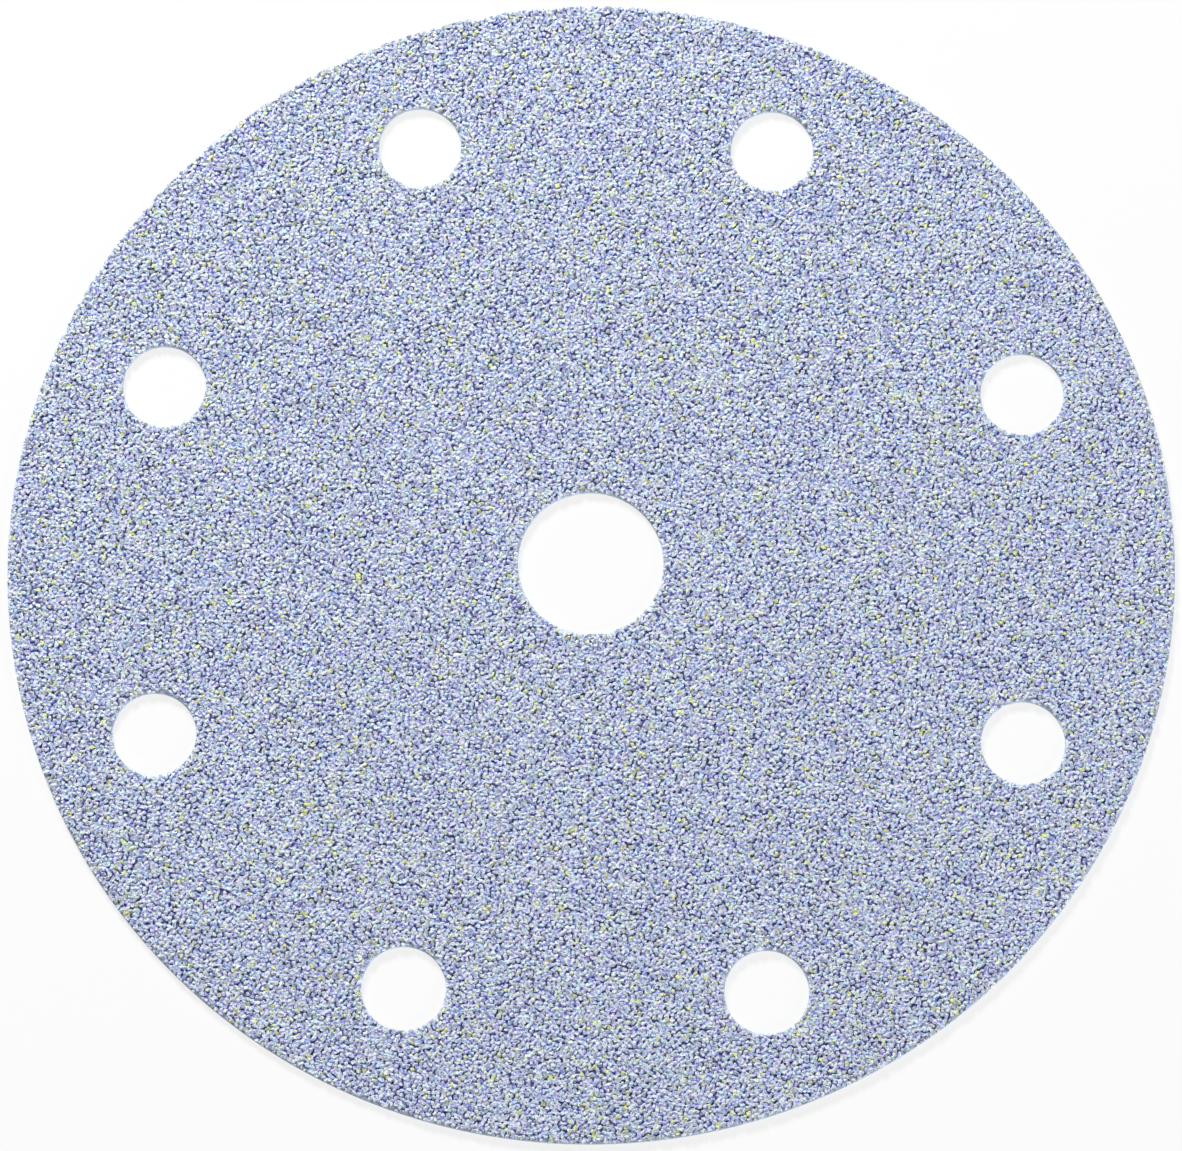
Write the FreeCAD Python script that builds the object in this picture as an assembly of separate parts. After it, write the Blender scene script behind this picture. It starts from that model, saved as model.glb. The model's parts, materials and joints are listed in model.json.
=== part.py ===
import FreeCAD, Part
import math
import os

# Multi-hole sanding disc: one sheet of coated abrasive, die-cut to a circle with a ring of dust holes
# round a larger centre hole. It lies on its back, the loop side, with the grain up.
# Millimetres. The origin is the centre of the back face, and +Z points out of the grain.

# Outline and sheet, from the loops' lowest point to the tips of the grain
disc_diameter = 150.0
sheet_thickness = 1.3

# Holes. The ring of dust holes is set in from the outline, which puts it on a 120 mm circle.
centre_hole_diameter = 18.7
dust_hole_diameter = 10.7
dust_hole_count = 8
outline_to_dust_holes = 15.0

# Die-cut edges: the blade enters through the grain and drags the face down with it, so every edge
# there rolls over before it meets the cut wall. Where the blade comes out, at the back, it is square.
rollover_width = 0.5
rollover_depth = 0.25

# How far a punch runs past each face of the sheet
punch_overrun = 1.0

# The rollover leaves the face at a tangent, which gives the radius of its arc and the angle it turns
rollover_radius = (rollover_width**2 + rollover_depth**2) / (2 * rollover_depth)
rollover_angle = math.asin(rollover_width / rollover_radius)


def point(x, z):
    return FreeCAD.Vector(x, 0.0, z)


def on_rollover(wall_x, side, share):
    # Point of the rollover beside a cut wall at wall_x, from the face (share 0) to the wall (share 1).
    # side is +1 where the sheet lies nearer the axis than its wall, -1 where it lies further out.
    turned_by = rollover_angle * share
    x = wall_x + side * (rollover_radius * math.sin(turned_by) - rollover_width)
    z = sheet_thickness - rollover_radius * (1 - math.cos(turned_by))
    return point(x, z)


def rollover(wall_x, side):
    return Part.Arc(*[on_rollover(wall_x, side, share) for share in (0.0, 0.5, 1.0)]).toShape()


def turned(edges):
    # Solid of revolution about Z from a closed half section
    section = Part.Face(Part.Wire(edges))
    return section.revolve(FreeCAD.Vector(0, 0, 0), FreeCAD.Vector(0, 0, 1), 360)


def blank():
    # The sheet inside the outline's cut
    wall_x = disc_diameter / 2
    face_end = on_rollover(wall_x, 1, 0.0)
    wall_end = on_rollover(wall_x, 1, 1.0)
    return turned([
        Part.makeLine(point(0, 0), point(wall_x, 0)),
        Part.makeLine(point(wall_x, 0), wall_end),
        rollover(wall_x, 1),
        Part.makeLine(face_end, point(0, sheet_thickness)),
        Part.makeLine(point(0, sheet_thickness), point(0, 0)),
    ])


def punched(diameter):
    # What a round punch takes out: a plug as wide as the hole, flared at the top by the rollover
    wall_x = diameter / 2
    face_end = on_rollover(wall_x, -1, 0.0)
    wall_end = on_rollover(wall_x, -1, 1.0)
    above = sheet_thickness + punch_overrun
    below = -punch_overrun
    return turned([
        Part.makeLine(point(0, below), point(wall_x, below)),
        Part.makeLine(point(wall_x, below), wall_end),
        rollover(wall_x, -1),
        Part.makeLine(face_end, point(face_end.x, above)),
        Part.makeLine(point(face_end.x, above), point(0, above)),
        Part.makeLine(point(0, above), point(0, below)),
    ])


def dust_hole_places():
    # Even ring that starts half a pitch off +X, so that X and Y run between two holes
    pitch = 2 * math.pi / dust_hole_count
    ring_radius = disc_diameter / 2 - outline_to_dust_holes
    for index in range(dust_hole_count):
        angle = (index + 0.5) * pitch
        yield FreeCAD.Vector(ring_radius * math.cos(angle), ring_radius * math.sin(angle), 0)


def sanding_disc():
    sheet = blank().cut(punched(centre_hole_diameter))
    dust_punch = punched(dust_hole_diameter)
    for place in dust_hole_places():
        punch = dust_punch.copy()
        punch.translate(place)
        sheet = sheet.cut(punch)
    return sheet.Solids[0]


disc = sanding_disc()
os.makedirs("parts", exist_ok=True)
disc.exportStep("parts/sanding_disc.step")
print("sanding_disc", round(disc.Volume, 1), "mm3, valid", disc.isValid())
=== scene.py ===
# %% [markdown]
# # A sanding disc, grain by grain
#
# A sanding disc is a laminate: a pile of fine loops that clings to the sander's pad, a sheet of heavy
# paper, a coat of resin, and thousands of hard grains that stand out of the resin. A die then cuts the
# outline and all the holes in one blow. This lesson builds it in that order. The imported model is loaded
# first, because it says how large the disc is and where its holes are.

import json
import math

import bpy
import numpy as np
from mathutils import Matrix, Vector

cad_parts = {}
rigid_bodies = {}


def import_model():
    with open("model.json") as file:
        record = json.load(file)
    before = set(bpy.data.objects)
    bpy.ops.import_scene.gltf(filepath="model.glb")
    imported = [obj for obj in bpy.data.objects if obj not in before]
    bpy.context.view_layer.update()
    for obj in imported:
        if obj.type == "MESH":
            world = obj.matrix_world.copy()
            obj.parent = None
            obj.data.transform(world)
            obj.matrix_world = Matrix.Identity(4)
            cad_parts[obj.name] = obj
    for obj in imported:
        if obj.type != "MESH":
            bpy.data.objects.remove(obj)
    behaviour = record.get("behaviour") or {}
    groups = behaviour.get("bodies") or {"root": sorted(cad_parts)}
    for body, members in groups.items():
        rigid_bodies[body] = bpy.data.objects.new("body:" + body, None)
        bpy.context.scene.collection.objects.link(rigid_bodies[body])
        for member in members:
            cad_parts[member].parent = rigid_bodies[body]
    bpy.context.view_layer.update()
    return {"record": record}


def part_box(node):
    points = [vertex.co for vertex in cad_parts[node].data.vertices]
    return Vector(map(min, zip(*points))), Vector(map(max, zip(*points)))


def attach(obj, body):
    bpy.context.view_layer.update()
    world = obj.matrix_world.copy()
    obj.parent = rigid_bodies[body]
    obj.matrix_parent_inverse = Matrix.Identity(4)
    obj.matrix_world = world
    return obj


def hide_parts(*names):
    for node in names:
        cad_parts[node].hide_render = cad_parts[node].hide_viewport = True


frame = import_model()
scene = bpy.context.scene
scene.view_settings.view_transform = "Standard"

# %% [markdown]
# ## Sizes
#
# Blender works in metres here, so a millimetre gets a name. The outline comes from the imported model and
# the holes from its record. The layers are usual ones for a coarse disc with a loop back: loops and
# their cloth up to half a millimetre, a heavy paper, a thin resin, and grain up to the full thickness.

# %% Sizes from the frame, and the layers between them
mm = 0.001
low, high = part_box("sanding_disc")
mounts = {mount["name"]: mount for mount in frame["record"]["mounts"]}
outline_radius = min(high.x, high.y, -low.x, -low.y)
tips = high.z
centre_hole_radius = mounts["centre_hole"]["dims"]["r_mm"] * mm
dust_hole_radius = mounts["dust_holes"]["dims"]["hole_r_mm"] * mm
dust_hole_count = mounts["dust_holes"]["dims"]["count"]
dust_ring_radius = mounts["dust_holes"]["dims"]["pcd_mm"] / 2 * mm

pile_base = 0.20 * mm
pile_top = 0.48 * mm
paper_top = 0.72 * mm
coat_top = 0.80 * mm
rollover_width = 0.5 * mm
rollover_depth = 0.25 * mm
print("grain stands", round((tips - coat_top) / mm, 2), "mm out of the coat")


def dust_hole_centres():
    for index in range(dust_hole_count):
        angle = (index + 0.5) * 2 * math.pi / dust_hole_count
        yield dust_ring_radius * math.cos(angle), dust_ring_radius * math.sin(angle)


holes = [(0.0, 0.0, centre_hole_radius)] + [(x, y, dust_hole_radius) for x, y in dust_hole_centres()]


def wall_distance(places):
    """How far each point lies from the nearest cut wall, seen from above."""
    away = outline_radius - np.hypot(places[:, 0], places[:, 1])
    for x, y, radius in holes:
        away = np.minimum(away, np.hypot(places[:, 0] - x, places[:, 1] - y) - radius)
    return away


# %% [markdown]
# ## Small helpers
#
# Operators act on whatever is selected, so a script that uses them has to keep the selection tidy. One
# helper deselects everything before it adds a primitive. Another selects faces by a test of their
# middles and normals and opens edit mode on them. Another applies a modifier, so that what is left is
# a mesh. Two more read and write all the points of a mesh at once, which a formula can then move. The
# last two count triangles and put a model into a collection of its own.

# %% Helpers for operators
def add_primitive(operator, name, **where):
    bpy.ops.object.select_all(action="DESELECT")
    operator(**where)
    made = bpy.context.object
    made.name = name
    made.data.name = name
    bpy.ops.object.transform_apply(location=True, rotation=True, scale=True)
    return made


def make_active(thing):
    bpy.ops.object.select_all(action="DESELECT")
    thing.select_set(True)
    bpy.context.view_layer.objects.active = thing


def edit_faces(thing, wanted):
    """Opens edit mode on thing with just those faces selected whose middle and normal pass the test."""
    make_active(thing)
    faces = thing.data.polygons
    scene.tool_settings.mesh_select_mode = (False, False, True)
    bpy.ops.object.mode_set(mode="EDIT")
    bpy.ops.mesh.select_all(action="DESELECT")
    bpy.ops.object.mode_set(mode="OBJECT")
    faces.foreach_set("select", [bool(wanted(face.center, face.normal)) for face in faces])
    bpy.ops.object.mode_set(mode="EDIT")


def apply_modifier(thing, modifier):
    make_active(thing)
    bpy.ops.object.modifier_apply(modifier=modifier.name)


def places_of(thing):
    found = np.empty(len(thing.data.vertices) * 3, np.float32)
    thing.data.vertices.foreach_get("co", found)
    return found.reshape(-1, 3).astype(float)


def put_places(thing, places):
    thing.data.vertices.foreach_set("co", places.astype(np.float32).ravel())
    thing.data.update()


def triangles_of(thing):
    thing.data.calc_loop_triangles()
    return len(thing.data.loop_triangles)


def move_to(thing, collection):
    for former in thing.users_collection:
        former.objects.unlink(thing)
    collection.objects.link(thing)


# %% [markdown]
# ## The die-cut sheet
#
# The real disc is punched from a wide web by a die with one ring and nine pins. The same thing is done
# here: a round blank, a tool of nine pins, and one Boolean that takes them out together. Building the
# holes as separate rings and joining them would give neater faces, but the flat of this sheet is covered
# with grain later, so only its edges have to be good.

# %% Blank and punch
rim_segments = 360
hole_segments = 120
pin_reach = 1 * mm

sheet = add_primitive(
    bpy.ops.mesh.primitive_cylinder_add, "abrasive_sheet", vertices=rim_segments,
    radius=outline_radius, depth=coat_top - pile_base, location=(0, 0, (pile_base + coat_top) / 2),
)
pins = []
for x, y, radius in holes:
    pins.append(add_primitive(
        bpy.ops.mesh.primitive_cylinder_add, "pin", vertices=hole_segments,
        radius=radius, depth=coat_top + 2 * pin_reach, location=(x, y, coat_top / 2),
    ))
make_active(pins[0])
for pin in pins:
    pin.select_set(True)
bpy.ops.object.join()
die = pins[0]
punch = sheet.modifiers.new("punch", "BOOLEAN")
punch.operation = "DIFFERENCE"
punch.solver = "EXACT"
punch.object = die
apply_modifier(sheet, punch)
bpy.data.objects.remove(die)
print("sheet punched:", len(sheet.data.polygons), "faces")

# %% [markdown]
# ## Layers on the cut edge
#
# The cut wall shows the layers as thin bands. Bisect draws a line round every wall at once without
# opening the mesh, and the faces between two lines later take the material of their layer.

# %% Bands on the wall
for level in (pile_top, paper_top):
    edit_faces(sheet, lambda middle, normal: True)
    bpy.ops.mesh.bisect(plane_co=(0, 0, level), plane_no=(0, 0, 1))
    bpy.ops.object.mode_set(mode="OBJECT")
print("sheet with bands:", len(sheet.data.polygons), "faces")

# %% [markdown]
# ## The rollover
#
# A blade that enters from the grain side drags the face down with it, so every edge up there is softly
# rounded and the layers under it are squeezed. Four narrow insets put rings of faces beside each wall,
# and one formula then lowers every point by how near it is to a wall. A bevel would round the edge too,
# but it would take as much from the wall as from the face, and the real round is flatter than that.

# %% Rings beside the walls, then the drag of the blade
rollover_rings = 4
least_upward = 0.9
edit_faces(sheet, lambda middle, normal: normal.z > least_upward)
for ring in range(rollover_rings):
    bpy.ops.mesh.inset(thickness=rollover_width / rollover_rings, depth=0, use_even_offset=True)
bpy.ops.object.mode_set(mode="OBJECT")
rollover_radius = (rollover_width**2 + rollover_depth**2) / (2 * rollover_depth)
cloth_layer, paper_layer, resin_layer, rim_layer = range(4)
largest_rim_face = 1 * mm**2
face_heights = np.array([face.center.z for face in sheet.data.polygons])
face_areas = np.array([face.area for face in sheet.data.polygons])
layer_of_face = np.select(
    [face_heights < pile_top, face_heights < paper_top, face_areas < largest_rim_face],
    [cloth_layer, paper_layer, rim_layer], resin_layer,
)


def drag(places):
    """Lowers points near a cut wall as the blade does, the more the higher they lie in the sheet."""
    inside = np.clip(rollover_width - wall_distance(places), 0, rollover_width)
    drop = rollover_radius - np.sqrt(rollover_radius**2 - inside**2)
    dragged = places.copy()
    dragged[:, 2] -= drop * (places[:, 2] - pile_base) / (coat_top - pile_base)
    return dragged


put_places(sheet, drag(places_of(sheet)))
print("sheet rolled over at its edges:", len(sheet.data.polygons), "faces")

# %% [markdown]
# ## Models of one grain
#
# Crushed grain is all corners and flat breaks, and no two are alike. Six models are enough, because each
# copy is turned and sized at random. A model starts as a ball of eighty triangles. Randomize knocks
# its corners about, a resize makes it blocky or tall, and Decimate merges the small faces into
# a few unequal ones. Its faces stay flat, as breaks are. That looks coarse on its own, but there are
# tens of thousands of grains, and each is well under a millimetre wide.

# %% Six grains
grain_radius = 0.38 * mm
grain_roughness = 0.25
grain_faces = 14
grain_shapes = [
    (1.00, 0.90, 0.95), (1.10, 0.90, 0.90), (0.95, 1.00, 1.00),
    (1.05, 0.95, 0.85), (0.90, 0.95, 1.05), (1.20, 0.85, 0.90),
]
grain_models = bpy.data.collections.new("grain_models")
scene.collection.children.link(grain_models)
for seed, shape in enumerate(grain_shapes, start=1):
    model = add_primitive(
        bpy.ops.mesh.primitive_ico_sphere_add, f"grain_model_{seed}", subdivisions=2, radius=grain_radius,
    )
    bpy.ops.object.mode_set(mode="EDIT")
    bpy.ops.mesh.select_all(action="SELECT")
    bpy.ops.transform.vertex_random(offset=grain_roughness * grain_radius, uniform=1.0, seed=seed)
    bpy.ops.transform.resize(value=shape)
    bpy.ops.object.mode_set(mode="OBJECT")
    breaks = model.modifiers.new("breaks", "DECIMATE")
    breaks.ratio = grain_faces / triangles_of(model)
    apply_modifier(model, breaks)
    move_to(model, grain_models)
print("grain models:", [triangles_of(model) for model in grain_models.objects], "triangles")

# %% [markdown]
# ## Building node trees in code
#
# Geometry and shader trees are built the same way, so one small class adds the nodes of both. Many nodes
# have hidden sockets for other kinds of data under the same names, and a number then tells them apart.
# Those numbers are kept inside the class, so that the trees themselves can be read.

# %% A helper that adds nodes
class Nodes:
    """Adds nodes to a tree, one line each: an input is set by name or number, or linked to an output."""

    def __init__(self, tree):
        self.tree = tree

    def add(self, kind, inputs=None, **settings):
        node = self.tree.nodes.new(kind)
        for name, value in settings.items():
            setattr(node, name, value)
        for name, value in (inputs or {}).items():
            if isinstance(value, bpy.types.NodeSocket):
                self.tree.links.new(value, node.inputs[name])
            else:
                node.inputs[name].default_value = value
        return node

    def maths(self, operation, *values):
        return self.add("ShaderNodeMath", dict(enumerate(values)), operation=operation).outputs[0]

    def random(self, kind, low_value, high_value, seed):
        first, second, out = {"FLOAT_VECTOR": (0, 1, 0), "FLOAT": (2, 3, 1), "INT": (4, 5, 2)}[kind]
        inputs = {first: low_value, second: high_value, "Seed": seed}
        return self.add("FunctionNodeRandomValue", inputs, data_type=kind).outputs[out]

    def map_range(self, value, from_low, from_high, to_low=0.0, to_high=1.0, **settings):
        inputs = dict(enumerate((value, from_low, from_high, to_low, to_high)))
        return self.add("ShaderNodeMapRange", inputs, **settings).outputs[0]

    def mix_colours(self, share, colour, second_colour):
        inputs = {0: share, 6: colour, 7: second_colour}
        return self.add("ShaderNodeMix", inputs, data_type="RGBA").outputs[2]


def new_group(name, kind, inputs, outputs):
    """A node group with these named sockets, and its two end nodes."""
    tree = bpy.data.node_groups.new(name, kind)
    for socket_name, socket_type, value in inputs:
        socket = tree.interface.new_socket(socket_name, in_out="INPUT", socket_type=socket_type)
        if value is not None:
            socket.default_value = value
    for socket_name, socket_type in outputs:
        tree.interface.new_socket(socket_name, in_out="OUTPUT", socket_type=socket_type)
    nodes = Nodes(tree)
    return nodes, nodes.add("NodeGroupInput").outputs, nodes.add("NodeGroupOutput").inputs


def join_up(nodes, links):
    for source, target in links:
        nodes.tree.links.new(source, target)


print("helpers ready for", bpy.app.version_string)

# %% [markdown]
# ## Points with geometry nodes
#
# Poisson sampling keeps the grains a set distance apart, as grains that jostle on wet resin are. The first
# node tree covers a face with such points. Its seed is fixed, so the points are the same each time.

# %% A tree that sprinkles points
sprinkle_seed = 7


def sprinkle_group():
    nodes, given, made = new_group(
        "sprinkle", "GeometryNodeTree",
        [
            ("Web", "NodeSocketGeometry", None),
            ("Spacing", "NodeSocketFloat", 0.001),
            ("Tries", "NodeSocketFloat", 1e6),
        ],
        [("Points", "NodeSocketGeometry")],
    )
    values = {
        "Mesh": given["Web"], "Distance Min": given["Spacing"], "Density Max": given["Tries"],
        "Seed": sprinkle_seed,
    }
    spots = nodes.add("GeometryNodeDistributePointsOnFaces", values, distribute_method="POISSON")
    points = nodes.add("GeometryNodePointsToVertices", {"Points": spots.outputs["Points"]})
    join_up(nodes, [(points.outputs[0], made["Points"])])
    return nodes.tree


sprinkle = sprinkle_group()
print(sprinkle.name, "has", len(sprinkle.nodes), "nodes")

# %% [markdown]
# ## Models on the points
#
# A second tree sets models on the points, each turned and sized at random, and stores two random numbers
# with each, which the material reads later as tone and tint. Its seeds are fixed too. All kinds of grain
# draw the same number at a point, and a kind takes the point if that number lies in its own share.

# %% A tree that sets models on points
share_seed, turn_seed, model_seed, size_seed = 21, 23, 24, 25
mark_seeds = {"tone": 26, "tint": 27}


def set_models_group():
    nodes, given, made = new_group(
        "set_models", "GeometryNodeTree",
        [
            ("Points", "NodeSocketGeometry", None),
            ("Models", "NodeSocketCollection", None),
            ("Model Count", "NodeSocketInt", 1),
            ("First Share", "NodeSocketFloat", 0.0),
            ("Last Share", "NodeSocketFloat", 1.0),
            ("Turn", "NodeSocketVector", None),
            ("Smallest", "NodeSocketFloat", 0.8),
            ("Largest", "NodeSocketFloat", 1.2),
        ],
        [("Meshes", "NodeSocketGeometry")],
    )
    share = nodes.random("FLOAT", 0.0, 1.0, share_seed)
    chosen = nodes.maths(
        "MULTIPLY",
        nodes.maths("SUBTRACT", 1.0, nodes.maths("LESS_THAN", share, given["First Share"])),
        nodes.maths("LESS_THAN", share, given["Last Share"]),
    )
    last_model = nodes.maths("SUBTRACT", given["Model Count"], 1.0)
    other_way = nodes.add("ShaderNodeVectorMath", {0: given["Turn"], "Scale": -1.0}, operation="SCALE")
    turn = nodes.random("FLOAT_VECTOR", other_way.outputs[0], given["Turn"], turn_seed)
    models = nodes.add(
        "GeometryNodeCollectionInfo",
        {"Collection": given["Models"], "Separate Children": True, "Reset Children": True},
    )
    placed = nodes.add("GeometryNodeInstanceOnPoints", {
        "Points": given["Points"], "Selection": chosen, "Instance": models.outputs[0],
        "Pick Instance": True, "Instance Index": nodes.random("INT", 0, last_model, model_seed),
        "Rotation": nodes.add("FunctionNodeEulerToRotation", {0: turn}).outputs[0],
        "Scale": nodes.random("FLOAT", given["Smallest"], given["Largest"], size_seed),
    })
    marked = placed
    for attribute, seed in mark_seeds.items():
        number = nodes.random("FLOAT", 0.0, 1.0, seed)
        marked = nodes.add(
            "GeometryNodeStoreNamedAttribute",
            {"Geometry": marked.outputs[0], "Name": attribute, "Value": number},
            data_type="FLOAT", domain="INSTANCE",
        )
    whole = nodes.add("GeometryNodeRealizeInstances", {"Geometry": marked.outputs[0]})
    join_up(nodes, [(whole.outputs[0], made["Meshes"])])
    return nodes.tree


set_models = set_models_group()
print(set_models.name, "has", len(set_models.nodes), "nodes")


# %% A helper that runs a tree on a copy
def run_group(thing, group, name, values):
    """A copy of thing, put through a geometry node group with these values and applied."""
    make_active(thing)
    bpy.ops.object.duplicate()
    made = bpy.context.object
    made.name = name
    made.data.name = name
    modifier = made.modifiers.new(name, "NODES")
    modifier.node_group = group
    sockets = {item.name: item.identifier for item in group.interface.items_tree if item.in_out == "INPUT"}
    for socket_name, value in values.items():
        modifier[sockets[socket_name]] = value
    apply_modifier(made, modifier)
    return made


# %% [markdown]
# ## Sprinkled on the web, before the die
#
# In the factory, grain lands on a wide web of wet resin, and discs are punched out of it later. Here too it
# is sprinkled on a plain square, and the points that a die would take away are deleted afterwards.
# Sprinkling on the punched sheet looks like a shorter way, but its large face is made of long thin
# triangles, which are filled one after the other, and the grain would lie closer where they are thin.

# %% Points on a square of web, less what is punched out
bare_strip = 0.06 * mm
tries_per_spacing = 30


def points_on_disc(name, spacing, level):
    web = add_primitive(
        bpy.ops.mesh.primitive_plane_add, "web", size=2 * outline_radius, location=(0, 0, level),
    )
    points = run_group(web, sprinkle, name, {"Spacing": spacing, "Tries": tries_per_spacing / spacing**2})
    bpy.data.objects.remove(web)
    scene.tool_settings.mesh_select_mode = (True, False, False)
    make_active(points)
    points.data.vertices.foreach_set("select", wall_distance(places_of(points)) < bare_strip)
    bpy.ops.object.mode_set(mode="EDIT")
    bpy.ops.mesh.delete(type="VERT")
    bpy.ops.object.mode_set(mode="OBJECT")
    return points


grain_spacing = 0.435 * mm
grain_points = points_on_disc("grain_points", grain_spacing, coat_top)
print("grains to place:", len(grain_points.data.vertices))

# %% [markdown]
# ## What the die leaves
#
# The blade cuts through the grains on its way, so none sticks out past the outline or into a hole. Points
# that lie past a wall are moved back to it, which cuts the grain flush. The tallest tips are taken
# down to the disc's full thickness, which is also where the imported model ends.

# %% Cut flush
flush = 0.02 * mm


def keep_off_walls(places, margin):
    """Moves points that lie past a cut wall, or nearer to it than margin, back to that distance."""
    kept = places.copy()
    reach = np.maximum(np.hypot(kept[:, 0], kept[:, 1]), margin)
    kept[:, :2] *= np.minimum(1, (outline_radius - margin) / reach)[:, None]
    for x, y, radius in holes:
        away = kept[:, :2] - (x, y)
        reach = np.maximum(np.hypot(away[:, 0], away[:, 1]), margin)
        kept[:, :2] = (x, y) + away * np.maximum(1, (radius + margin) / reach)[:, None]
    return kept


def cut_flush(places):
    cut = keep_off_walls(places, flush)
    cut[:, 2] = np.clip(cut[:, 2], low.z, tips)
    return cut


# %% [markdown]
# ## Seated in the resin
#
# Each grain sinks into the wet resin by its own small amount, and beside a cut the blade drags it down
# with the sheet. The differences in height are kept small, because a few grains that stand out
# much further than the rest would catch all the light.

# %% Height of each grain
grain_seat = 0.03 * mm
grain_lift = 0.03 * mm
sinking_seed = 3

places = drag(places_of(grain_points))
sinking = np.random.default_rng(sinking_seed).uniform(-grain_lift, grain_lift, len(places))
places[:, 2] += grain_seat + sinking
put_places(grain_points, places)
lowest, highest = places[:, 2].min() / mm, places[:, 2].max() / mm
print("grains seated between", lowest.round(2), "and", highest.round(2), "mm")

# %% [markdown]
# ## A map for baking
#
# A material that lives on thousands of grains can't be unwrapped well, because each facet would get an
# island of its own. Seen from straight above, though, most of each grain shows, and where two of a kind
# overlap, their colours are close. So the map is the plan view: faces that look up fill a circle in the
# square, and the rest, which hardly show, go into a small circle in a corner that the large one leaves
# free. The loops of the back get the same map.

# %% Plan-view map
plan_middle = 0.5
plan_radius = 0.49
corner_radius = 0.075
corner_middle = 0.08


def map_from_above(thing):
    mesh = thing.data
    while mesh.uv_layers:
        mesh.uv_layers.remove(mesh.uv_layers[0])
    layer = mesh.uv_layers.new(name="OFBake")
    vertex = np.empty(len(mesh.loops), np.int32)
    mesh.loops.foreach_get("vertex_index", vertex)
    plan = places_of(thing)[vertex, :2] / outline_radius
    normals = np.empty(len(mesh.polygons) * 3, np.float32)
    mesh.polygons.foreach_get("normal", normals)
    corners = np.empty(len(mesh.polygons), np.int32)
    mesh.polygons.foreach_get("loop_total", corners)
    looks_up = np.repeat(normals[2::3] > 0, corners)[:, None]
    uv = np.where(looks_up, plan_middle + plan_radius * plan, corner_middle + corner_radius * plan)
    layer.uv.foreach_set("vector", uv.astype(np.float32).ravel())


# %% [markdown]
# ## Grains on end, and crushed at the cut
#
# An electric field lifts the grains against the resin in the factory, and it stands them on end. So each
# copy turns freely about the upright axis but leans only a little. Where the blade goes through, it crushes
# the grain to a pale dust that stays in the resin. Each point therefore stores how near it lies to a cut,
# and the finish reads that number and whitens the grain there, which is partly painted light on rolled
# edges that lie in shade. There are five kinds, told apart by their colours: four share nearly all the
# points evenly, and a few grains are amber.

# %% Mark what the blade crushes
def mark_rim(thing):
    # Nearness to a cut: the finish turns it into pale crushed grain, partly painted light.
    nearness = np.clip(1 - wall_distance(places_of(thing)) / rollover_width, 0, 1)
    rim = thing.data.attributes.new("rim", "FLOAT", "POINT")
    rim.data.foreach_set("value", nearness.astype(np.float32))


# %% Five kinds of grain
most_lean = 0.6
upright = (most_lean, most_lean, math.pi)
smallest_grain, largest_grain = 0.93, 1.07
shares = {"pale": 0.2425, "lavender": 0.2425, "blue": 0.2425, "dusky": 0.2425, "amber": 0.03}
grains = {}
taken = 0.0
for kind, share in shares.items():
    grain = run_group(grain_points, set_models, f"grain_{kind}", {
        "Models": grain_models, "Model Count": len(grain_shapes), "Turn": upright,
        "First Share": taken, "Last Share": taken + share,
        "Smallest": smallest_grain, "Largest": largest_grain,
    })
    put_places(grain, cut_flush(places_of(grain)))
    mark_rim(grain)
    map_from_above(grain)
    grains[kind] = grain
    taken += share
    print(grain.name, triangles_of(grain), "triangles")

# %% [markdown]
# ## Loops of the pile
#
# The back of such a disc is brushed cloth: fine loops that the hooks of the sander's pad catch. One loop
# is half of a thin ring, so a torus is cut at its middle and its ends are closed. The loops stand about
# as crowded as a limit on triangles allows, lean every way, and are pressed flat where they meet the
# table. Strands finer than these are left to the relief of the cloth's material.

# %% Two loops
loop_span = 1.1 * mm
strand_width = 0.13 * mm
strand_wobble = strand_width / 8
loop_sags = (0.55, 0.8)
loop_models = bpy.data.collections.new("loop_models")
scene.collection.children.link(loop_models)
for seed, sag in enumerate(loop_sags, start=1):
    model = add_primitive(
        bpy.ops.mesh.primitive_torus_add, f"loop_model_{seed}", major_segments=6, minor_segments=3,
        major_radius=loop_span / 2, minor_radius=strand_width / 2, rotation=(math.pi / 2, 0, 0),
    )
    bpy.ops.object.mode_set(mode="EDIT")
    bpy.ops.mesh.select_all(action="SELECT")
    bpy.ops.mesh.bisect(plane_co=(0, 0, 0), plane_no=(0, 0, 1), clear_outer=True, use_fill=True)
    bpy.ops.mesh.select_all(action="SELECT")
    bpy.ops.transform.resize(value=(1, 1, sag))
    bpy.ops.transform.vertex_random(offset=strand_wobble, uniform=1.0, seed=seed)
    bpy.ops.object.mode_set(mode="OBJECT")
    bpy.ops.object.shade_smooth()
    move_to(model, loop_models)
print("loop models:", [triangles_of(model) for model in loop_models.objects], "triangles")

# %% Loops all over the back
loop_spacing = 1.2 * mm
loop_lean = (0.9, 0.5, math.pi)
smallest_loop, largest_loop = 0.8, 1.15
pile_points = points_on_disc("pile_points", loop_spacing, pile_base)
pile = run_group(pile_points, set_models, "loop_pile", {
    "Models": loop_models, "Model Count": len(loop_sags), "Turn": loop_lean,
    "Smallest": smallest_loop, "Largest": largest_loop,
})
put_places(pile, cut_flush(places_of(pile)))
map_from_above(pile)
print("loop pile:", triangles_of(pile), "triangles from", len(pile_points.data.vertices), "loops")

# %% Clear away what only helped
for points in (grain_points, pile_points):
    bpy.data.objects.remove(points)
for models in (grain_models, loop_models):
    for model in list(models.objects):
        bpy.data.objects.remove(model)
    bpy.data.collections.remove(models)

# %% [markdown]
# ## An effect that every finish of the disc uses
#
# An effect that several finishes use is a node group, built once. Fine mottle wanders between two colours,
# makes the gloss uneven and adds relief, all from one noise, so the first colour lies in the relief's
# hollows and the second on its crests; where the first is the darker, that is partly painted shade. It
# reads Object coordinates, which are metres here, so a feature's size can be given in millimetres.

# %% Fine mottle
noise_detail = 3.0
noise_roughness = 0.6
noise_span = (0.3, 0.7)
patch_edges = (0.40, 0.52)


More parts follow.
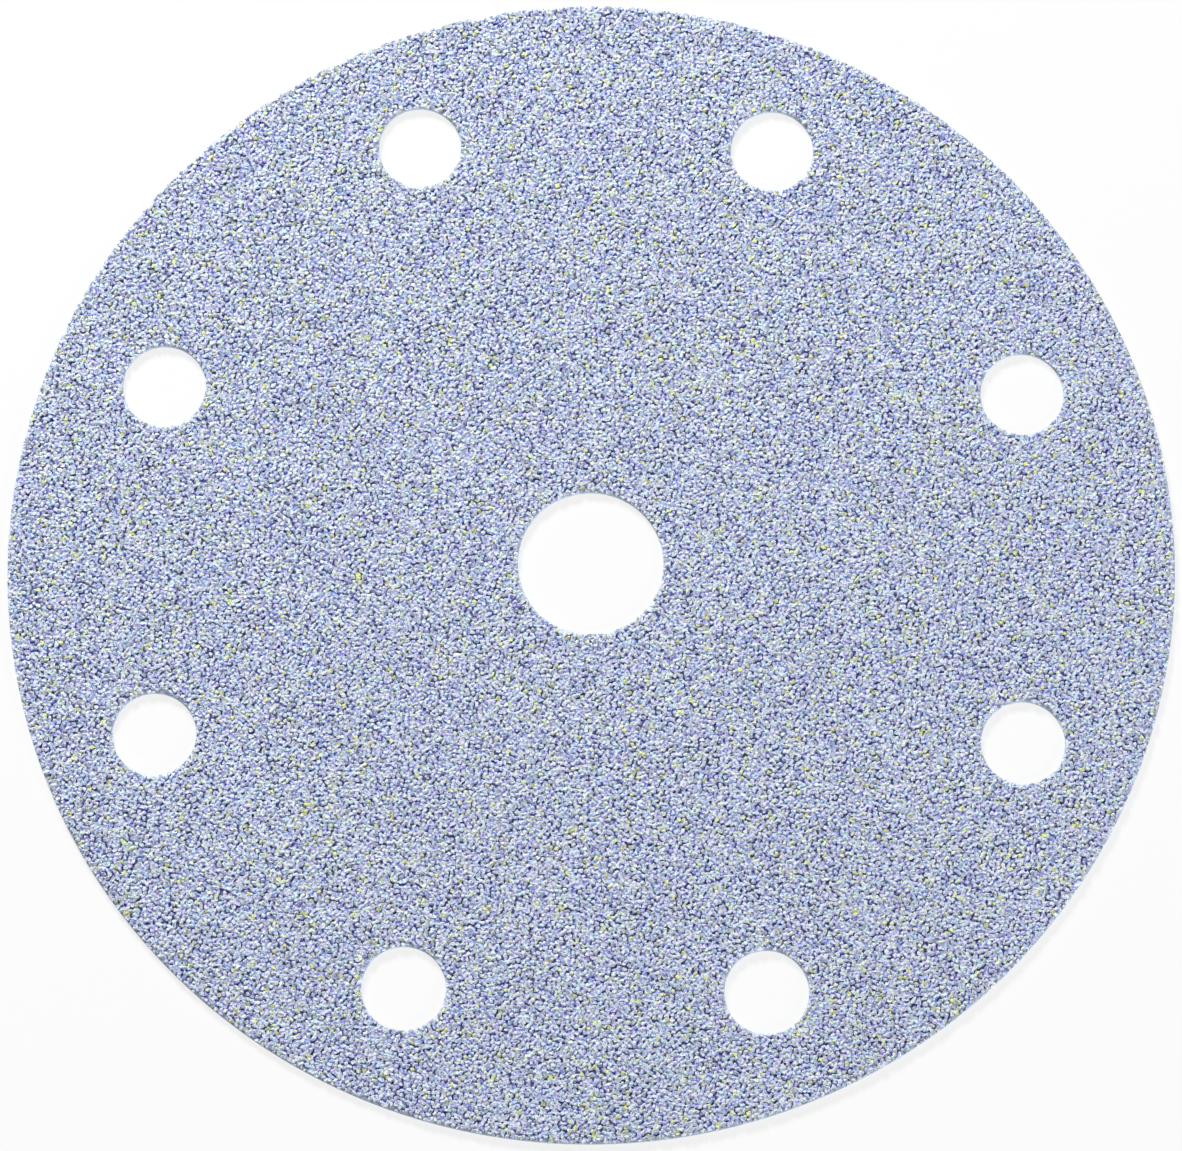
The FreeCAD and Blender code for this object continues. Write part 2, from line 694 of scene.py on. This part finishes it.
def fine_mottle_group():
    nodes, given, made = new_group(
        "fine_mottle", "ShaderNodeTree",
        [
            ("Colour", "NodeSocketColor", None),
            ("Second Colour", "NodeSocketColor", None),
            ("Feature Size", "NodeSocketFloat", 0.001),
            ("Stretch", "NodeSocketVector", (1, 1, 1)),
            ("Smooth", "NodeSocketFloat", 0.4),
            ("Rough", "NodeSocketFloat", 0.8),
            ("Relief", "NodeSocketFloat", 0.0),
        ],
        [("Colour", "NodeSocketColor"), ("Roughness", "NodeSocketFloat"), ("Normal", "NodeSocketVector")],
    )
    place = nodes.add("ShaderNodeTexCoord").outputs["Object"]
    stretched = nodes.add("ShaderNodeVectorMath", {0: place, 1: given["Stretch"]}, operation="MULTIPLY")
    noise = nodes.add("ShaderNodeTexNoise", {
        "Vector": stretched.outputs[0], "Scale": nodes.maths("DIVIDE", 1.0, given["Feature Size"]),
        "Detail": noise_detail, "Roughness": noise_roughness,
    }).outputs[0]
    # Colour follows the relief's noise: first colour in the hollows, second on the crests.
    share = nodes.map_range(noise, *patch_edges)
    mixed = nodes.mix_colours(share, given["Colour"], given["Second Colour"])
    roughness = nodes.map_range(noise, *noise_span, given["Smooth"], given["Rough"])
    bump = nodes.add("ShaderNodeBump", {"Height": noise, "Distance": given["Relief"]})
    join_up(nodes, [
        (mixed, made["Colour"]),
        (roughness, made["Roughness"]),
        (bump.outputs[0], made["Normal"]),
    ])
    return nodes.tree


fine_mottle = fine_mottle_group()
print(fine_mottle.name, "has", len(fine_mottle.nodes), "nodes")

# %% [markdown]
# ## Differences from grain to grain
#
# Grain spread reads the two random numbers of each grain. One mixes in a tint, and the other makes the
# whole grain a little darker or lighter.

# %% Grain spread
def grain_spread_group():
    nodes, given, made = new_group(
        "grain_spread", "ShaderNodeTree",
        [
            ("Colour", "NodeSocketColor", None),
            ("Tint Colour", "NodeSocketColor", None),
            ("Tint Amount", "NodeSocketFloat", 0.5),
            ("Darkest", "NodeSocketFloat", 0.92),
            ("Lightest", "NodeSocketFloat", 1.05),
        ],
        [("Colour", "NodeSocketColor")],
    )
    tint = nodes.add("ShaderNodeAttribute", attribute_name="tint").outputs["Fac"]
    tone = nodes.add("ShaderNodeAttribute", attribute_name="tone").outputs["Fac"]
    share = nodes.maths("MULTIPLY", tint, given["Tint Amount"])
    tinted = nodes.mix_colours(share, given["Colour"], given["Tint Colour"])
    level = nodes.map_range(tone, 0.0, 1.0, given["Darkest"], given["Lightest"])
    toned = nodes.add("ShaderNodeVectorMath", {0: tinted, "Scale": level}, operation="SCALE")
    join_up(nodes, [(toned.outputs[0], made["Colour"])])
    return nodes.tree


grain_spread = grain_spread_group()
print(grain_spread.name, "has", len(grain_spread.nodes), "nodes")

# %% [markdown]
# ## Painted shade and highlight by height
#
# Height shade paints shade and light by height. It goes from painted shade deep in the gaps to the grain's
# own colour and on to tips that are whitened partly by the coat and partly as a painted highlight. It also
# whitens what the blade has crushed, which partly paints light on edges that lie in shade. A height above
# the table says more than a slope here, because the shade lies deep between the grains. It reads Object
# coordinates as the mottle does.

# %% Height shade
def height_shade_group():
    nodes, given, made = new_group(
        "height_shade", "ShaderNodeTree",
        [
            ("Painted Gap Shade Colour", "NodeSocketColor", None),
            ("Colour", "NodeSocketColor", None),
            ("Pale Coat And Highlight Colour", "NodeSocketColor", None),
            ("Gap Level", "NodeSocketFloat", 0.0008),
            ("Clear Level", "NodeSocketFloat", 0.0010),
            ("Tip Level", "NodeSocketFloat", 0.0013),
            ("Tip Amount", "NodeSocketFloat", 0.6),
            ("Rim Amount", "NodeSocketFloat", 0.6),
        ],
        [("Colour", "NodeSocketColor")],
    )
    place = nodes.add("ShaderNodeTexCoord").outputs["Object"]
    height = nodes.add("ShaderNodeSeparateXYZ", {0: place}).outputs["Z"]
    rim = nodes.add("ShaderNodeAttribute", attribute_name="rim").outputs["Fac"]
    # Near the cuts: crushed grain, and partly painted light on edges in shade.
    crushed_and_painted_light = nodes.maths("MULTIPLY", rim, given["Rim Amount"])
    # Painted shade: dark deep in the gaps, fading out up to Clear Level.
    clear = nodes.map_range(
        height, given["Gap Level"], given["Clear Level"], interpolation_type="SMOOTHSTEP",
    )
    # Tips whitened, partly the coat and partly a painted highlight.
    coat_and_painted_highlight = nodes.map_range(height, given["Clear Level"], given["Tip Level"], 0.0, given["Tip Amount"])
    tipped = nodes.mix_colours(
        nodes.maths("MAXIMUM", coat_and_painted_highlight, crushed_and_painted_light), given["Colour"], given["Pale Coat And Highlight Colour"],
    )
    shaded = nodes.mix_colours(nodes.maths("MAXIMUM", clear, crushed_and_painted_light), given["Painted Gap Shade Colour"], tipped)
    join_up(nodes, [(shaded, made["Colour"])])
    return nodes.tree


height_shade = height_shade_group()
print(height_shade.name, "has", len(height_shade.nodes), "nodes")


# %% Helpers for materials
def rgb(red, green, blue):
    return (red, green, blue, 1.0)


def new_material(name, specular=0.5):
    material = bpy.data.materials.new(name)
    material.use_nodes = True
    shader = material.node_tree.nodes["Principled BSDF"]
    shader.inputs["Specular IOR Level"].default_value = specular
    return material, Nodes(material.node_tree), shader


def finish_with(nodes, shader, mottle, colour):
    join_up(nodes, [
        (colour, shader.inputs["Base Color"]),
        (mottle.outputs["Roughness"], shader.inputs["Roughness"]),
        (mottle.outputs["Normal"], shader.inputs["Normal"]),
    ])


# %% [markdown]
# ## The grain's finish
#
# A pale blue, waxy coat is sprayed over the finished abrasive to keep dust from clogging it. It stays thin
# lower down and runs off some grains, so the colour wanders from near white through lavender to a dusky
# blue, and here and there a bare yellowish grain shows. The tips are whitened, partly for that coat and
# partly as a painted highlight, and low between the grains the colour turns to painted shade. Each kind has
# two colours, and the noise that also makes the relief wanders between them: the darker lies in the
# relief's hollows as painted shade, the paler on its crests. The coat is matt with a little gloss, so each
# facet gives the light back differently.

# %% One material for each kind of grain
painted_gap_shade_depth = 0.12 * mm
# Painted shade deep between the grains.
painted_gap_shade_colour = rgb(0.06, 0.06, 0.22)
# Whitens tips and crushed rims: partly coat and crushed grain, partly painted highlight.
pale_coat_and_highlight_colour = rgb(0.81, 0.94, 1.00)
tint_colour = rgb(0.72, 0.82, 1.00)
# First of each pair: darker colour of the relief's hollows, partly painted shade; second: paler crests.
grain_hollow_and_crest_colours = {
    "pale": (rgb(0.26, 0.24, 0.84), rgb(0.91, 0.96, 1.00)),
    "lavender": (rgb(0.25, 0.19, 0.84), rgb(0.90, 0.92, 1.00)),
    "blue": (rgb(0.17, 0.21, 0.84), rgb(0.78, 0.96, 1.00)),
    "dusky": (rgb(0.23, 0.19, 0.80), rgb(0.92, 1.00, 0.76)),
    "amber": (rgb(0.50, 0.46, 0.42), rgb(0.92, 1.00, 0.34)),
}


def grain_material(name, colour, second_colour):
    material, nodes, shader = new_material(name)
    # The darker first colour lies in the relief's hollows, partly as painted shade.
    mottle = nodes.add("ShaderNodeGroup", node_tree=fine_mottle, inputs={
        "Colour": colour, "Second Colour": second_colour, "Feature Size": 0.38 * mm,
        "Smooth": 0.45, "Rough": 0.75, "Relief": 0.33 * mm,
    })
    spread = nodes.add("ShaderNodeGroup", node_tree=grain_spread, inputs={
        "Colour": mottle.outputs["Colour"], "Tint Colour": tint_colour, "Tint Amount": 0.3,
        "Darkest": 0.95, "Lightest": 1.03,
    })
    # Painted shade low in the gaps, tips whitened partly as painted highlight, crushed rims partly as
    # painted light.
    shade = nodes.add("ShaderNodeGroup", node_tree=height_shade, inputs={
        "Colour": spread.outputs["Colour"], "Painted Gap Shade Colour": painted_gap_shade_colour, "Pale Coat And Highlight Colour": pale_coat_and_highlight_colour,
        "Gap Level": coat_top, "Clear Level": coat_top + painted_gap_shade_depth, "Tip Level": tips,
        "Tip Amount": 0.3, "Rim Amount": 0.7,
    })
    finish_with(nodes, shader, mottle, shade.outputs["Colour"])
    return material


for kind, (colour, second_colour) in grain_hollow_and_crest_colours.items():
    grains[kind].data.materials.clear()
    grains[kind].data.materials.append(grain_material(f"grain_{kind}", colour, second_colour))
print("grain materials:", [grain.data.materials[0].name for grain in grains.values()])

# %% [markdown]
# ## Resin, paper and pile
#
# Resin shows deep in the gaps, a little glossy, and dark navy: partly its own colour, partly painted shade
# between the grains. On the rolled edges the blade has crushed grain and top coat into it, which leaves a
# pale rim; that paleness is partly painted light on edges that lie in shade. Paper shows as one band on the
# cut walls, and its fibres run along the sheet, so its noise is stretched flat. The cloth of the back is
# drawn as the same noise at a coarser size and with more relief.

# %% Materials of the sheet
def plain_material(name, colours, feature, relief, smooth, rough, specular=0.5, stretch=(1, 1, 1)):
    material, nodes, shader = new_material(name, specular)
    mottle = nodes.add("ShaderNodeGroup", node_tree=fine_mottle, inputs={
        "Colour": colours[0], "Second Colour": colours[1], "Feature Size": feature, "Stretch": stretch,
        "Smooth": smooth, "Rough": rough, "Relief": relief,
    })
    finish_with(nodes, shader, mottle, mottle.outputs["Colour"])
    return material


# Dark resin: partly its own colour, partly painted shade between the grains.
resin_with_painted_shade = plain_material(
    "resin_with_painted_shade", (rgb(0.04, 0.05, 0.18), rgb(0.10, 0.12, 0.32)),
    feature=0.25 * mm, relief=0.08 * mm, smooth=0.4, rough=0.7,
)
paper = plain_material(
    "paper", (rgb(0.74, 0.82, 0.96), rgb(0.60, 0.67, 0.80)),
    feature=0.3 * mm, relief=0.03 * mm, smooth=0.8, rough=1.0, specular=0.2, stretch=(1, 1, 6),
)
cloth = plain_material(
    "cloth", (rgb(0.62, 0.66, 0.72), rgb(0.44, 0.47, 0.52)),
    feature=0.5 * mm, relief=0.2 * mm, smooth=0.85, rough=1.0, specular=0.2,
)
strands = plain_material(
    "strands", (rgb(0.71, 0.74, 0.78), rgb(0.54, 0.56, 0.60)),
    feature=0.6 * mm, relief=0.02 * mm, smooth=0.7, rough=0.95, specular=0.3,
)
# Pale crushed grain on the rolled edges, partly painted light on edges in shade.
crushed_rim_and_painted_light = plain_material(
    "crushed_rim_and_painted_light", (rgb(0.48, 0.56, 0.90), rgb(0.72, 0.84, 0.98)),
    feature=0.3 * mm, relief=0.08 * mm, smooth=0.35, rough=0.6,
)

# %% Materials onto their faces
crease_angle = math.radians(35)
sheet.data.materials.clear()
for material in (cloth, paper, resin_with_painted_shade, crushed_rim_and_painted_light):
    sheet.data.materials.append(material)
sheet.data.polygons.foreach_set("material_index", layer_of_face.astype(np.int32))
pile.data.materials.clear()
pile.data.materials.append(strands)
make_active(sheet)
bpy.ops.object.shade_smooth_by_angle(angle=crease_angle)
print("sheet materials:", [material.name for material in sheet.data.materials])

# %% [markdown]
# ## Joining the frame
#
# Nothing on the disc moves, so every piece rides on the one body. The sheet stands for the imported disc.

# %% Bodies
for piece in (sheet, pile, *grains.values()):
    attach(piece, "root")
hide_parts("sanding_disc")
added = sum(triangles_of(piece) for piece in (sheet, pile, *grains.values()))
print("triangles in all:", added)

# %% [markdown]
# ## Camera
#
# The photograph looks down on the disc, leaning a little to its near side. Its lens and place were worked
# out from the outline's ellipse and the nine holes. Blender's camera looks along its own -Z, so
# the camera is first moved back from the disc and then turned about the disc's middle.

# %% Camera of the photograph
photo_width = 1182
focal_length = 6212
sensor_width = 36
view_distance = 797.2 * mm
across, along = -0.06 * mm, 1.71 * mm
lean_back, lean_aside, roll = (math.radians(angle) for angle in (13.04, 0.64, 0.72))

camera_data = bpy.data.cameras.new("camera")
camera_data.sensor_width = sensor_width
camera_data.lens = focal_length / photo_width * sensor_width
camera = bpy.data.objects.new("camera", camera_data)
scene.collection.objects.link(camera)
turned = Matrix.Rotation(roll, 4, "Z") @ Matrix.Rotation(lean_aside, 4, "Y")
turned @= Matrix.Rotation(lean_back, 4, "X")
middle = Matrix.Translation((0, 0, tips))
camera.matrix_world = middle @ turned @ Matrix.Translation((-across, -along, view_distance))
scene.camera = camera
print("camera at, metres:", [round(part, 3) for part in camera.matrix_world.translation])

# %% [markdown]
# ## Light
#
# Grain mostly shows by its shadows, so the main light comes in at a slant, from behind the disc and a
# little from the left. It is a broad lamp at some distance: near enough to leave the far side of the disc
# a little brighter, broad enough to keep the shadows soft. In the photograph the edge at the lower right
# is pale as well, so a weaker lamp stands on that side. The world fills in the rest. Together they
# light a level surface so that its colour renders about as written. A third lamp comes with the floor.

# %% Lamps
lamp_size = 0.20


def add_lamp(name, place, power):
    """A square lamp at this place that faces the middle of the disc."""
    lamp_data = bpy.data.lights.new(name, "AREA")
    lamp_data.size = lamp_size
    lamp_data.energy = power
    lamp = bpy.data.objects.new(name, lamp_data)
    scene.collection.objects.link(lamp)
    lamp.location = place
    lamp.rotation_euler = (-lamp.location).to_track_quat("-Z", "Y").to_euler()
    print(name, power, "W")


add_lamp("window_light", place=(-0.27, 0.61, 0.51), power=8.4)
add_lamp("side_light", place=(0.50, -0.42, 0.34), power=1.6)

# %% World
fill_strength = 0.15

world = bpy.data.worlds.new("world")
world.use_nodes = True
scene.world = world
nodes = Nodes(world.node_tree)
rays = nodes.add("ShaderNodeLightPath").outputs
lighting = world.node_tree.nodes["Background"]
lighting.inputs["Color"].default_value = rgb(1, 1, 1)
lighting.inputs["Strength"].default_value = fill_strength
backdrop = nodes.add("ShaderNodeBackground", {"Color": rgb(1, 1, 1), "Strength": 1.0})
choice = nodes.add("ShaderNodeMixShader", {
    0: rays["Is Camera Ray"], 1: lighting.outputs[0], 2: backdrop.outputs[0],
})
join_up(nodes, [(choice.outputs[0], world.node_tree.nodes["World Output"].inputs[0])])
print("world", fill_strength)

# %% [markdown]
# ## Floor
#
# The floor is a wide white sheet just under the pile. The eye sees it mostly as white paper that
# shines by itself, and partly as lit by the lamps, so that it keeps a soft shadow of the disc. Further
# off it is all shine, so that no horizon shows. It is a light table: shadow rays pass through it, so a
# lamp below lights the loops and the cut walls, which are pale in the photograph too. Seen from below it
# is clear, which lets the back be looked at.

# %% Light table and the lamp below it
floor_size = 6.0
floor_gap = 0.01 * mm

floor = add_primitive(
    bpy.ops.mesh.primitive_plane_add, "floor", size=floor_size, location=(0, 0, low.z - floor_gap),
)
add_lamp("table_light", place=(0.40, -0.25, -0.35), power=3.4)
print("floor at", round(floor.data.vertices[0].co.z / mm, 3), "mm")

# %% The floor's white
floor_white = rgb(0.9, 0.9, 0.9)
floor_glow = 0.8
all_glow_from = 0.6

floor_material, nodes, shader = new_material("floor", specular=0.0)
shader.inputs["Base Color"].default_value = floor_white
shader.inputs["Roughness"].default_value = 1.0
rays = nodes.add("ShaderNodeLightPath").outputs
looked_at = nodes.maths("MAXIMUM", rays["Is Camera Ray"], rays["Is Glossy Ray"])
looked_at = nodes.maths("MAXIMUM", looked_at, rays["Is Transmission Ray"])
place = nodes.add("ShaderNodeTexCoord").outputs["Object"]
distance = nodes.add("ShaderNodeVectorMath", {0: place}, operation="LENGTH").outputs["Value"]
glow_share = nodes.map_range(distance, outline_radius, all_glow_from, floor_glow, 1.0)
glow = nodes.add("ShaderNodeEmission", {"Color": rgb(1, 1, 1), "Strength": 1.0})
upper = nodes.add("ShaderNodeMixShader", {
    0: nodes.maths("MULTIPLY", looked_at, glow_share), 1: shader.outputs[0], 2: glow.outputs[0],
})
clear = nodes.add("ShaderNodeBsdfTransparent")
below = nodes.add("ShaderNodeNewGeometry").outputs["Backfacing"]
let_through = nodes.maths("MAXIMUM", below, rays["Is Shadow Ray"])
both_sides = nodes.add("ShaderNodeMixShader", {0: let_through, 1: upper.outputs[0], 2: clear.outputs[0]})
join_up(nodes, [(both_sides.outputs[0], floor_material.node_tree.nodes["Material Output"].inputs[0])])
floor.data.materials.append(floor_material)
print("floor material:", floor_material.name)
